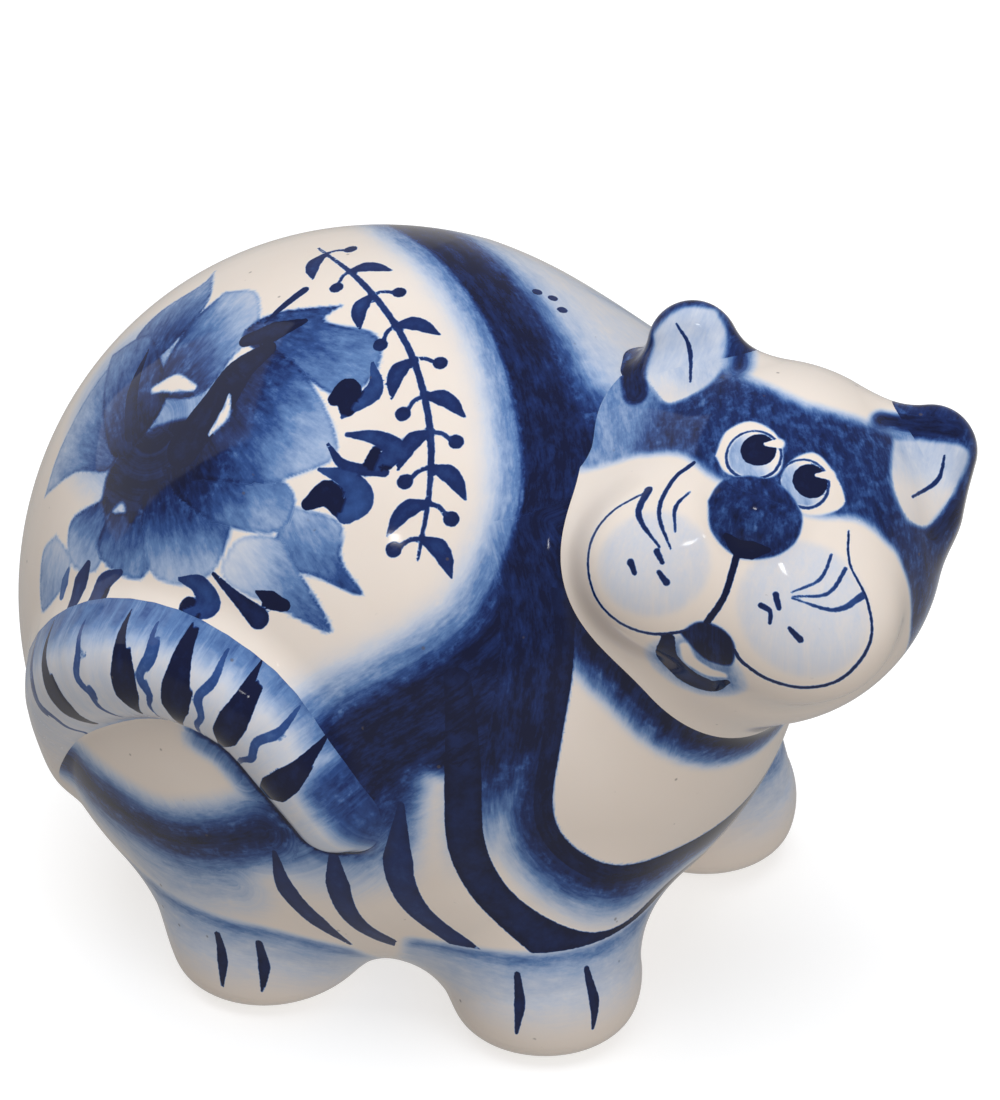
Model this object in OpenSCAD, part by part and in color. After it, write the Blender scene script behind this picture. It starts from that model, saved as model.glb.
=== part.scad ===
// Fat porcelain cat figurine, cast in separate pieces that are joined with slip.
// The cat stands on four stub feet, faces -Y and turns its head to its own right (-X).

/* [Body] */
// Diameter of the body, looked at from the front
body_d = 92; // [84:1:100]
// Length of the body, chest to rump
body_l = 100; // [92:1:110]
// Height of the middle of the body over the table
body_mid = 42; // [40:0.5:44]
// Height of the flat belly over the table
belly_gap = 4; // [3:0.5:6]
// Thickness of the cast wall
wall = 3.5; // [2.5:0.5:5]
// Diameter of the firing vent in the belly
vent_d = 9; // [6:0.5:14]

/* [Head] */
// Diameter of the round head
head_d = 44; // [40:0.5:48]
// How far the head turns to the cat's right, in degrees
head_turn = 72; // [55:1:80]
// How far the face looks up, in degrees
head_lift = 32; // [20:1:40]
// How far the head leans towards its left ear, in degrees
head_lean = 16.5; // [8:0.5:22]
// Height of the middle of the head over the table
head_mid = 64; // [60:0.5:68]

/* [Limbs] */
// Diameter of a leg at the foot
leg_d = 24; // [20:0.5:27]
// Height of a leg before it is cut to the belly
leg_h = 22; // [20:0.5:28]
// Radius of the round edge under a foot
foot_round = 5; // [3:0.5:7]
// Radius of the round shoulder where a leg swells out of the body
shoulder_round = 10; // [6:0.5:11]
// Distance between the two front legs
front_track = 48; // [42:0.5:52]
// Distance between the two rear legs
rear_track = 56; // [50:0.5:60]
// Distance from the front legs back to the rear legs
wheelbase = 36; // [32:0.5:42]

/* [Tail] */
// Radius of the arch that the tail makes on the right flank
tail_arch_r = 19.5; // [17:0.5:22]
// Diameter of the tail
tail_d = 13; // [10:0.5:15]

/* [Hidden] */
$fn = 64;

// The origin sits under the middle of the whole figurine, so every piece moves by this much.
to_origin = [0.75, 10.4, 0];

body_center = [0, 0, body_mid];
head_center = [-3, -48.5, head_mid];

// Ring of slip that the head sits on: its diameters, how far along the line from the body to the
// head its middle is, and how far it reaches each way from there
neck_d = 34;
neck_inner_d = 26;
neck_mid = 44;
neck_reach = 4;

// Front legs stand this far ahead of the middle of the body
front_reach = 28;

tail_center = [-38.3, 10.5, 34];
tail_turn = 8;
tail_root_angle = 8;
tail_tip_angle = 186;
// The domes are a little slimmer than the tail
tail_dome_d = 0.94 * tail_d;

// Ear outline in the plane of the head: inner root, outer root and tip
ear_points = [[9, 15], [18, 8], [17, 21.3]];
ear_round = 3;
ear_half_thickness = 1.2;
ear_forward = 1;

// Number of straight steps from the chest to the rump
body_steps = 24;

// An egg of revolution along Y, with its middle at the origin.
module egg(d, l) {
    outline = [for (i = [0 : body_steps]) let (a = 180 * i / body_steps) [d / 2 * sin(a), l / 2 * cos(a)]];
    rotate([90, 0, 0]) rotate_extrude() polygon(outline);
}

// Cuts the underside of its children flat at a height over the table.
module flat_below(height) {
    difference() {
        children();
        translate([-body_d, -body_l, height - body_d]) cube([2 * body_d, 2 * body_l, body_d]);
    }
}

module at_head() {
    translate(head_center)
        rotate([0, 0, -head_turn])
            rotate([-head_lift, 0, 0])
                rotate([0, head_lean, 0])
                    children();
}

// Everything that the outside of the body fills.
module body_solid() {
    flat_below(belly_gap) translate(body_center) egg(body_d, body_l);
}

module body_hollow() {
    flat_below(belly_gap + wall) translate(body_center) egg(body_d - 2 * wall, body_l - 2 * wall);
}

module head_solid() {
    translate(head_center) sphere(d = head_d);
}

module head_hollow() {
    translate(head_center) sphere(d = head_d - 2 * wall);
}

// A straight round along the line from the body to the head.
module neck_round(d, from, to) {
    run = head_center - body_center;
    yaw = atan2(run[1], run[0]);
    tilt = acos(run[2] / norm(run));
    translate(body_center)
        rotate([0, tilt, yaw])
            translate([0, 0, from])
                cylinder(d = d, h = to - from);
}

module body_shell() {
    color("ivory")
        translate(to_origin)
            difference() {
                body_solid();
                body_hollow();
                neck_round(neck_d, 0, 2 * neck_mid);
                translate([0, 0, belly_gap - 1]) cylinder(d = vent_d, h = wall + 2);
            }
}

module head_shell() {
    color("ivory")
        translate(to_origin)
            difference() {
                head_solid();
                head_hollow();
                body_solid();
                neck_round(neck_d, 0, neck_mid + neck_reach);
            }
}

// The ring of set slip that joins the two castings at the neck.
module neck_joint() {
    color("linen")
        translate(to_origin)
            difference() {
                neck_round(neck_d, neck_mid - neck_reach, neck_mid + neck_reach);
                neck_round(neck_inner_d, 0, 2 * neck_mid);
            }
}

module ear(side) {
    color("lightsteelblue")
        translate(to_origin)
            difference() {
                at_head()
                    hull()
                        for (p = ear_points, y = [-1, 1])
                            translate([side * p[0], y * ear_half_thickness - ear_forward, p[1]])
                                sphere(r = ear_round, $fn = 32);
                head_solid();
            }
}

module leg(side, y, track) {
    color("ivory")
        translate(to_origin)
            difference() {
                translate([side * track / 2, y, 0])
                    rotate_extrude()
                        intersection() {
                            leg_profile();
                            square([leg_d / 2, leg_h]);
                        }
                body_solid();
            }
}

// Half outline of a leg: flat sole, round edge, straight side, round shoulder.
module leg_profile() {
    r = leg_d / 2;
    square([r - shoulder_round, leg_h]);
    square([r - foot_round, leg_h - shoulder_round]);
    translate([0, foot_round]) square([r, leg_h - shoulder_round - foot_round]);
    translate([r - foot_round, foot_round]) circle(r = foot_round);
    translate([r - shoulder_round, leg_h - shoulder_round]) circle(r = shoulder_round);
}

module tail() {
    color("lightsteelblue")
        translate(to_origin)
            difference() {
                translate(tail_center)
                    rotate([0, 0, -tail_turn])
                        tail_arch();
                body_solid();
            }
}

// Part of a ring in the YZ plane, with a dome on each end. Angles start at the rump.
module tail_arch() {
    rotate([90, 0, 90])
        rotate([0, 0, tail_root_angle])
            rotate_extrude(angle = tail_tip_angle - tail_root_angle)
                translate([tail_arch_r, 0]) circle(d = tail_d);
    for (angle = [tail_root_angle, tail_tip_angle])
        rotate([angle, 0, 0])
            translate([0, tail_arch_r, 0])
                sphere(d = tail_dome_d);
}

body_shell();
head_shell();
neck_joint();
ear(1);  // ear_left
ear(-1);  // ear_right
tail();
leg(1, -front_reach, front_track);  // leg_front_left
leg(-1, -front_reach, front_track);  // leg_front_right
leg(1, wheelbase - front_reach, rear_track);  // leg_rear_left
leg(-1, wheelbase - front_reach, rear_track);  // leg_rear_right
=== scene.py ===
"""Looks for the glazed porcelain cat: one smooth form, cut into its cast pieces, and its cobalt brushwork."""

import math

import bpy
import numpy as np
import openvdb
from mathutils import Matrix, Vector


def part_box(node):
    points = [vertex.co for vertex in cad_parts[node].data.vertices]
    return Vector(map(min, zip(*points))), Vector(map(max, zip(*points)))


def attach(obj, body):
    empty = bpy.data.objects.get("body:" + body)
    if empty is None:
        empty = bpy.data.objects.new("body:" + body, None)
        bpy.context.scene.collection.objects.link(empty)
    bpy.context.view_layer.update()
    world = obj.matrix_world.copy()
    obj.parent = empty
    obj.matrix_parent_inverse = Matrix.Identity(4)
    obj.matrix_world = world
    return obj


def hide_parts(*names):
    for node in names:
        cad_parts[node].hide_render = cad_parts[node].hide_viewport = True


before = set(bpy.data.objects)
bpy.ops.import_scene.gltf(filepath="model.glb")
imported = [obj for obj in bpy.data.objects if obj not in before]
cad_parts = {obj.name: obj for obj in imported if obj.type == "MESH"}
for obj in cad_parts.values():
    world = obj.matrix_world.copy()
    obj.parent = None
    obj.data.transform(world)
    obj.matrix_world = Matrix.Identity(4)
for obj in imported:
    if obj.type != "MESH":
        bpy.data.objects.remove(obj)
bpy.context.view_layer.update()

# ---- Shape, in millimetres. Cat space has its origin on the table under the middle of the body;
# the cat's body faces -Y and its left side is +X.

MM = 0.001
body_lo, body_hi = (np.array(c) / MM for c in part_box("body_shell"))
TO_ORIGIN = np.array([(body_lo[0] + body_hi[0]) / 2, (body_lo[1] + body_hi[1]) / 2, 0.0])

BODY_CENTER = np.array([0.0, 0.0, 41.0])
BODY_RADII = np.array([44.5, 50.0, 47.5])
BODY_TAPER = 0.05
SHOULDER_DROP = 0.08
BELLY_Z = 4.0
VENT_RADIUS = 4.5

# A leg swells and leans inwards as it rises; its foot is a ball cut flat.
LEG_RADIUS = 12.0
LEG_TOP = 20.0
LEG_SPREAD = 1.2
LEG_LEAN = 0.85
FOOT_BALL_Z = LEG_RADIUS * 0.6
FEET = {
    "leg_front_right": (-21.0, -28.5),
    "leg_front_left": (24.5, -29.5),
    "leg_rear_right": (-26.5, 7.5),
    "leg_rear_left": (28.0, 8.0),
}

HEAD_CENTER = np.array([-3.0, -48.5, 64.0])
HEAD_RADII = np.array([21.4, 21.2, 22.0])
HEAD_TURN, HEAD_LIFT, HEAD_LEAN = -72.0, -32.0, 16.5
NECK = (np.array([4.0, -18.0, 52.0]), np.array([0.0, -40.0, 62.0]), 22.0, 20.0)

# Low relief on the head, in head space: centre and radii.
CHEEKS = [((-9.0, -14.0, -7.0), (10.0, 7.6, 9.5)), ((9.0, -14.0, -6.5), (10.5, 7.6, 9.8))]
NOSE = ((-0.3, -17.6, 2.5), (6.0, 4.6, 5.0))
RIGHT_TEMPLE = ((-12.6, 0.0, 5.0), (10.0, 10.0, 10.0))

# Ear outlines in the plane of the head, by side: inner root, outer root and tip.
EAR_OUTLINES = {
    -1: ((11.6, 15.2), (15.2, 15.0), (16.0, 19.0)),
    1: ((10.2, 14.6), (15.6, 10.6), (15.0, 17.2)),
}
EAR_PLUMP = 2.2
EAR_ROUND = 3.2
EAR_HALF_THICKNESS = 1.2
EAR_FORWARD = 1.0

# The tail's middle line over the flank, from its tip by the front leg to its root behind.
TAIL_POINTS = ((-41.3, -10.6, 38), (-42.3, -6.5, 43.5), (-42.4, 0, 50), (-41.6, 10, 52.3), (-39.3, 20, 49),
               (-33, 28.2, 40), (-24.5, 31, 27))
TAIL_R, TAIL_TIP_R = 7.2, 5.5
# Share of the tail that thins towards its tip.
TAIL_TAPER = 0.65
# The tail lies to the right of this plane; elsewhere it counts as this far away.
TAIL_SIDE_X = -18.0
TAIL_FAR = 30.0

# Widths over which neighbouring forms melt into each other.
BLEND_LEG, BLEND_NECK, BLEND_HEAD, BLEND_EAR, BLEND_RELIEF = 7.0, 12.0, 4.0, 4.0, 5.0
BLEND_TAIL_OUTSIDE, BLEND_TAIL_INSIDE = 4.0, 0.8
BLEND_BELLY, BLEND_SOLE = 10.0, 4.0

# Slopes are measured over this distance to either side.
NUDGE = 0.05


def turn(axis, degrees):
    return np.array(Matrix.Rotation(math.radians(degrees), 3, axis))


HEAD_AXES = turn("Z", HEAD_TURN) @ turn("X", HEAD_LIFT) @ turn("Y", HEAD_LEAN)


def smooth_step(lo, hi, x):
    t = np.clip((x - lo) / (hi - lo), 0.0, 1.0)
    return t * t * (3.0 - 2.0 * t)


def smooth_min(a, b, width):
    h = np.maximum(width - np.abs(a - b), 0.0) / width
    return np.minimum(a, b) - h * h * width * 0.25


def smooth_max(a, b, width):
    return -smooth_min(-a, -b, width)


def length(v):
    return np.sqrt(np.einsum("...i,...i->...", v, v))


def ellipsoid(p, center, radii):
    q = (p - center) / radii
    k = length(q)
    return k * (k - 1.0) / np.maximum(length(q / radii), 1e-6)


def capsule(p, a, b, radius_a, radius_b):
    ab = b - a
    t = np.clip(((p - a) @ ab) / (ab @ ab), 0.0, 1.0)
    return length(p - a - t[..., None] * ab) - (radius_a + (radius_b - radius_a) * t)


def triangle(p, corners):
    """Signed distance to a triangle, for points in its plane."""
    corners = [np.array(c) for c in corners]
    squared, inside = None, None
    for i in range(3):
        a, b, c = corners[i], corners[(i + 1) % 3], corners[(i + 2) % 3]
        edge = b - a
        winding = math.copysign(1.0, edge[0] * (c - b)[1] - edge[1] * (c - b)[0])
        w = p - a
        t = np.clip((w @ edge) / (edge @ edge), 0.0, 1.0)
        gap = w - t[..., None] * edge
        d = gap[..., 0] ** 2 + gap[..., 1] ** 2
        s = winding * (edge[0] * w[..., 1] - edge[1] * w[..., 0])
        squared = d if squared is None else np.minimum(squared, d)
        inside = s if inside is None else np.minimum(inside, s)
    return -np.sqrt(squared) * np.sign(inside)


def head_space(p):
    return (p - HEAD_CENTER) @ HEAD_AXES


def curve(points, steps=8):
    """A smooth line through a few points."""
    p = np.array(points, float)
    if len(p) < 3:
        return p
    ends = np.concatenate([[2 * p[0] - p[1]], p, [2 * p[-1] - p[-2]]])
    t = np.linspace(0, 1, steps, endpoint=False)[:, None]
    spans = []
    for a, b, c, d in zip(ends, ends[1:], ends[2:], ends[3:]):
        bend = (2 * a - 5 * b + 4 * c - d) * t**2 + (3 * b - a - 3 * c + d) * t**3
        spans.append(0.5 * (2 * b + (c - a) * t + bend))
    return np.concatenate([*spans, p[-1:]])


TAIL_LINE = curve(TAIL_POINTS, 4)
TAIL_LENGTH = length(np.diff(TAIL_LINE, axis=0)).sum()


def tail_space(p):
    """Distance from the tail's middle line, length along it, and offset to the arch's outer side."""
    best = np.full(p.shape[:-1], np.inf)
    at, out = np.zeros_like(best), np.zeros_like(best)
    run = 0.0
    for a, b in zip(TAIL_LINE, TAIL_LINE[1:]):
        step = b - a
        size = math.sqrt(step @ step)
        w = p - a
        t = np.clip((w @ step) / size**2, 0.0, 1.0)
        gap = w - t[..., None] * step
        d = length(gap)
        near = d < best
        best = np.where(near, d, best)
        at = np.where(near, run + t * size, at)
        out = np.where(near, gap @ np.cross(np.array([1.0, 0.0, 0.0]), step / size), out)
        run += size
    return best, at, out


def body_form(p):
    q = p - BODY_CENTER
    along = q[..., 1:2] / BODY_RADII[1]
    swell = 1.0 + BODY_TAPER * np.clip(along, -1.2, 1.0)
    drop = 1.0 + SHOULDER_DROP * np.clip(along, -1.2, 0.0)
    q = np.concatenate([q[..., 0:1] / swell, q[..., 1:2], q[..., 2:3] / swell / drop], axis=-1)
    return smooth_max(ellipsoid(q, np.zeros(3), BODY_RADII), BELLY_Z - p[..., 2], BLEND_BELLY)


def leg_form(p, x, y):
    foot = np.array([x, y, FOOT_BALL_Z])
    top = np.array([x * LEG_LEAN, y * LEG_LEAN, LEG_TOP])
    leg = capsule(p, foot, top, LEG_RADIUS, LEG_RADIUS * LEG_SPREAD)
    return smooth_max(leg, -p[..., 2], BLEND_SOLE)


def tail_form(p):
    """Distance to the tail, and how widely it melts into the body there."""
    d = np.full(p.shape[:-1], TAIL_FAR)
    blend = np.full(p.shape[:-1], BLEND_TAIL_OUTSIDE)
    close = p[..., 0] < TAIL_SIDE_X
    middle, at, out = tail_space(p[close])
    taper = smooth_step(TAIL_TAPER, 0.0, at / TAIL_LENGTH)
    d[close] = middle - TAIL_R - (TAIL_TIP_R - TAIL_R) * taper
    side = smooth_step(-3.0, 3.0, out)
    blend[close] = BLEND_TAIL_INSIDE + (BLEND_TAIL_OUTSIDE - BLEND_TAIL_INSIDE) * side
    return d, blend


def ear_form(q, side):
    flat = triangle(np.stack([q[..., 0] * side, q[..., 2]], axis=-1), EAR_OUTLINES[side]) - EAR_PLUMP
    slab = np.stack([flat, np.abs(q[..., 1] + EAR_FORWARD) - EAR_HALF_THICKNESS], axis=-1)
    return np.minimum(slab.max(axis=-1), 0.0) + length(np.maximum(slab, 0.0)) - EAR_ROUND


def head_form(q):
    head = ellipsoid(q, np.zeros(3), HEAD_RADII)
    for center, radii in CHEEKS:
        head = smooth_min(head, ellipsoid(q, center, radii), BLEND_RELIEF)
    head = smooth_min(head, ellipsoid(q, *RIGHT_TEMPLE), BLEND_RELIEF)
    return smooth_min(head, ellipsoid(q, *NOSE), BLEND_RELIEF * 0.5)


def forms(p):
    """Distance to each cast piece on its own."""
    q = head_space(p)
    out = {"body": body_form(p), "neck": capsule(p, *NECK), "head": head_form(q)}
    out["tail"], _ = tail_form(p)
    out["ear_right"], out["ear_left"] = ear_form(q, -1), ear_form(q, 1)
    for name, (x, y) in FEET.items():
        out[name] = leg_form(p, x, y)
    return out


def cat_form(p):
    """Distance to the whole figurine."""
    f = forms(p)
    d = f["body"]
    for name in FEET:
        d = smooth_min(d, f[name], BLEND_LEG)
    d = smooth_min(d, f["neck"], BLEND_NECK)
    head = smooth_min(smooth_min(f["head"], f["ear_right"], BLEND_EAR), f["ear_left"], BLEND_EAR)
    return smooth_min(smooth_min(d, *tail_form(p)), head, BLEND_HEAD)


def slope_of(form, p):
    return np.stack([form(p + a) - form(p - a) for a in np.eye(3) * NUDGE], axis=-1) / (2 * NUDGE)


def settle(p, rounds=2):
    """Moves points onto the surface and returns them with their normals."""
    for _ in range(rounds):
        g = slope_of(cat_form, p)
        p = p - (cat_form(p) / np.maximum((g * g).sum(-1), 1e-6))[:, None] * g
    g = slope_of(cat_form, p)
    return p, g / length(g)[:, None]


# ---- Surface mesh

# Size of a grid cell, and the corners of the block of cells that holds the cat.
GRID = 0.8
GRID_LO, GRID_HI = np.array([-52.0, -76.0, -3.0]), np.array([50.0, 56.0, 94.0])


def rough_surface():
    steps = [np.arange(a, b, GRID) for a, b in zip(GRID_LO, GRID_HI)]
    p = np.stack(np.meshgrid(*steps, indexing="ij"), axis=-1)
    band = 3.0 * GRID
    field = openvdb.FloatGrid(band)
    field.copyFromArray(np.clip(cat_form(p), -band, band).astype(np.float32))
    points, quads = field.convertToQuads(isovalue=0.0)
    return GRID_LO + points * GRID, quads.astype(np.int64)


def sides(quads):
    """The two ends of every side of every face."""
    return np.stack([quads, np.roll(quads, -1, axis=1)], axis=-1).reshape(-1, 2)


def split_quads(points, quads):
    """Cuts every four-sided face into four."""
    n = len(points)
    edges, which = np.unique(np.sort(sides(quads), axis=1), axis=0, return_inverse=True)
    mid = which.reshape(-1, 4) + n
    center = np.arange(len(quads)) + n + len(edges)
    new_points = np.concatenate([points, points[edges].mean(axis=1), points[quads].mean(axis=1)])
    corners = [np.stack([quads[:, i], mid[:, i], center, mid[:, i - 1]], axis=-1) for i in range(4)]
    return new_points, np.concatenate(corners)


def face_forward(points, quads):
    """Turns the faces so that their winding follows the surface's outward side."""
    a, b, c, d = (points[quads[:, i]] for i in range(4))
    normal = np.cross(c - a, d - b)
    outward = slope_of(cat_form, (a + b + c + d) / 4)
    return quads[:, ::-1] if (normal * outward).sum() < 0 else quads


PIECES = ["body", "head", "ear_right", "ear_left", "tail", *FEET]


def piece_distances(p):
    """Distance to each of PIECES; the neck is part of the body's casting."""
    f = forms(p)
    f["body"] = np.minimum(f["body"], f.pop("neck"))
    return np.stack([f[name] for name in PIECES])


def slide_to_borders(points, quads, rounds=3):
    """Moves the vertices between two cast pieces onto the line where both are equally near."""
    owner = np.argmin(piece_distances(points[quads].mean(axis=1)), axis=0)
    low = np.full(len(points), len(PIECES))
    high = np.full(len(points), -1)
    for i in range(4):
        np.minimum.at(low, quads[:, i], owner)
        np.maximum.at(high, quads[:, i], owner)
    index = np.nonzero(low != high)[0]
    row = np.arange(len(index))
    low, high = low[index], high[index]

    def lead(p):
        d = piece_distances(p)
        return d[low, row] - d[high, row]

    p = points[index]
    reach = GRID * 0.5
    for _ in range(rounds):
        normal = slope_of(cat_form, p)
        normal /= length(normal)[:, None]
        slope = slope_of(lead, p)
        slope -= (slope * normal).sum(-1)[:, None] * normal
        step = -(lead(p) / np.maximum((slope * slope).sum(-1), 0.05))[:, None] * slope
        p = p + step * np.minimum(1.0, reach / np.maximum(length(step), 1e-9))[:, None]
    moved = points.copy()
    moved[index], _ = settle(p, 1)
    return moved, owner


def take(points, quads):
    used, index = np.unique(quads, return_inverse=True)
    return points[used], index.reshape(quads.shape)


# ---- Paint. A chart lays part of the surface flat, in millimetres: u to the right and v up, as seen
# from outside. Washes are soft tones; strokes are kept as a distance to their edge, so that they
# stay crisp between vertices.

# Radii at which the charts of the body and the head are true to size.
BODY_REACH, HEAD_REACH = 46.0, 23.2
# Distances to a stroke's edge are kept up to this one.
FAR_EDGE = 1.5
# A place on a chart that no stroke reaches.
OFF_CHART = 99.0
# The grain of a wash and of a loaded stroke is drawn out along the brush by these factors.
WASH_DRAWN, STROKE_DRAWN = 0.25, 0.2


def unit(v):
    v = np.array(v, float)
    return v / np.linalg.norm(v)


def chart(p, center, axis, reach):
    axis = unit(axis)
    up = unit(np.array([0, 0, 1]) - axis[2] * axis)
    d = p - center
    d = d / length(d)[:, None]
    along = d @ axis
    tangent = d - along[:, None] * axis
    size = np.maximum(length(tangent), 1e-9)
    arc = np.arccos(np.clip(along, -1, 1)) * reach / size
    return np.stack([tangent @ np.cross(up, axis) * arc, tangent @ up * arc], axis=-1)


def direction(turn_degrees, lift_degrees):
    """A direction turned from straight ahead towards the cat's right, and lifted."""
    a, b = math.radians(turn_degrees), math.radians(lift_degrees)
    return (-math.sin(a) * math.cos(b), -math.cos(a) * math.cos(b), math.sin(b))


FLANK, CHEST, FACE = direction(90, 20), direction(25, -15), (0, -1, 0)


def measure(uv, path):
    """Distance to a line, how far along it (0 to 1), the arc length there, and on which side."""
    seg = np.diff(path, axis=0)
    run = np.concatenate([[0], np.cumsum(length(seg))])
    best = np.full(len(uv), np.inf)
    at = np.zeros(len(uv))
    side = np.zeros(len(uv))
    for i, s in enumerate(seg):
        w = uv - path[i]
        t = np.clip((w @ s) / max(s @ s, 1e-9), 0, 1)
        d = length(w - t[:, None] * s)
        near = d < best
        best = np.where(near, d, best)
        at = np.where(near, run[i] + t * (run[i + 1] - run[i]), at)
        side = np.where(near, np.sign(w[:, 0] * s[1] - w[:, 1] * s[0]), side)
    return best, at / run[-1], at, side


def closed_distance(uv, path):
    """Signed distance to a closed line, negative inside it."""
    d, _, _, _ = measure(uv, path)
    inside = np.zeros(len(uv), bool)
    for a, b in zip(path[:-1], path[1:]):
        crosses = (a[1] > uv[:, 1]) != (b[1] > uv[:, 1])
        rise = b[1] - a[1] if b[1] != a[1] else 1e-9
        inside ^= crosses & (uv[:, 0] < (b[0] - a[0]) * (uv[:, 1] - a[1]) / rise + a[0])
    return np.where(inside, -d, d)


def near(uv, path, reach, where):
    """Indices of the points that a line can touch."""
    lo, hi = path.min(axis=0) - reach, path.max(axis=0) + reach
    return np.nonzero(where & (uv >= lo).all(axis=1) & (uv <= hi).all(axis=1))[0]


def brushed(uv, points, widths, where):
    """The points that a stroke of changing width can touch, and how far each is from its edge."""
    path = curve(points)
    index = near(uv, path, max(widths) / 2 + FAR_EDGE, where)
    d, share, _, _ = measure(uv[index], path)
    return index, d - np.interp(share, np.linspace(0, 1, len(widths)), widths) / 2


class Canvas:
    """The paint on a set of points."""

    def __init__(self, points):
        self.points = points
        self.wash = np.zeros(len(points))
        self.edge = np.full(len(points), FAR_EDGE)
        self.tone = np.zeros(len(points))
        self.grain = points[:, :2].copy()
        self.every = np.arange(len(points))

    def lay(self, index, mask, tone, grain=None):
        """A soft layer over what is there."""
        self.wash[index] = self.wash[index] * (1 - mask) + tone * mask
        if grain is not None:
            on = mask > 0.3
            self.grain[index[on]] = grain[on]

    def darken(self, index, shade, full):
        """A soft layer that only darkens; it is whole where the shade passes a given tone."""
        self.lay(index, smooth_step(0.0, full, shade), np.maximum(shade, self.wash[index]))

    def stroke(self, uv, points, widths, tone, where):
        """A crisp brush stroke along a line, as wide as given from its start to its end."""
        index, d = brushed(uv, points, widths, where)
        closer = d < self.edge[index]
        index = index[closer]
        self.edge[index] = d[closer]
        self.tone[index] = tone

    def clear(self, uv, points, widths, where):
        """Takes paint away along a line, back to the clay."""
        index, d = brushed(uv, points, widths, where)
        self.lay(index, 1 - smooth_step(-0.25, 0.25, d), 0.0)
        self.edge[index] = np.maximum(self.edge[index], -d)

    def soft_stroke(self, uv, points, width, soft, tone, where):
        """A stroke of wash whose edges fade out."""
        path = curve(points)
        index = near(uv, path, width / 2 + soft, where)
        d, _, at, side = measure(uv[index], path)
        mask = 1 - smooth_step(width / 2 - soft, width / 2 + soft, d)
        grain = np.stack([d * side, at * STROKE_DRAWN], axis=-1)
        self.lay(index, mask, np.maximum(tone, self.wash[index]), grain)

    def petal(self, uv, outline, base, tip, dark, light, where, shade=0.0):
        """One loaded-brush petal: dark where the brush lands, pale where it lifts off."""
        path = curve([*outline, outline[0]], 6)
        index = near(uv, path, 1.0, where)
        d = closed_distance(uv[index], path)
        base, tip = np.array(base, float), np.array(tip, float)
        size = math.sqrt((tip - base) @ (tip - base))
        axis = (tip - base) / size
        w = uv[index] - base
        along = w @ axis
        aside = w[:, 0] * -axis[1] + w[:, 1] * axis[0]
        fade = smooth_step(-0.05, 1.05, along / size + shade * aside / size)
        rim = 0.16 * (1 - smooth_step(0.0, 0.7, -d))
        tone = dark + (light - dark) * fade + rim
        fan = np.arctan2(aside, along + size) * size
        grain = np.stack([fan, along * STROKE_DRAWN], axis=-1)
        self.lay(index, 1 - smooth_step(-0.22, 0.22, d), tone, grain)

    def patch(self, uv, outline, soft, tone, where, erase_strokes=False):
        """A closed area filled with one tone."""
        path = curve([*outline, outline[0]])
        index = near(uv, path, soft + 0.5, where)
        d = closed_distance(uv[index], path)
        self.lay(index, 1 - smooth_step(-soft, soft, d), tone)
        if erase_strokes:
            self.edge[index] = np.maximum(self.edge[index], -d)

    def spot(self, uv, center, radius, tone, where):
        """A crisp round dab."""
        d = length(uv - np.array(center)) - radius
        closer = where & (d < self.edge)
        self.edge[closer] = d[closer]
        self.tone[closer] = tone


# Medallion edge on the flank chart, from the top of the back down to the tail.
MEDALLION = [(-18, 70), (-6, 64), (3, 59.5), (13.5, 52), (21, 43), (26.3, 32), (28, 23), (26.3, 12.5),
             (22.5, 6.5), (17, 1.5), (8, -6), (0, -16)]

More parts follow.
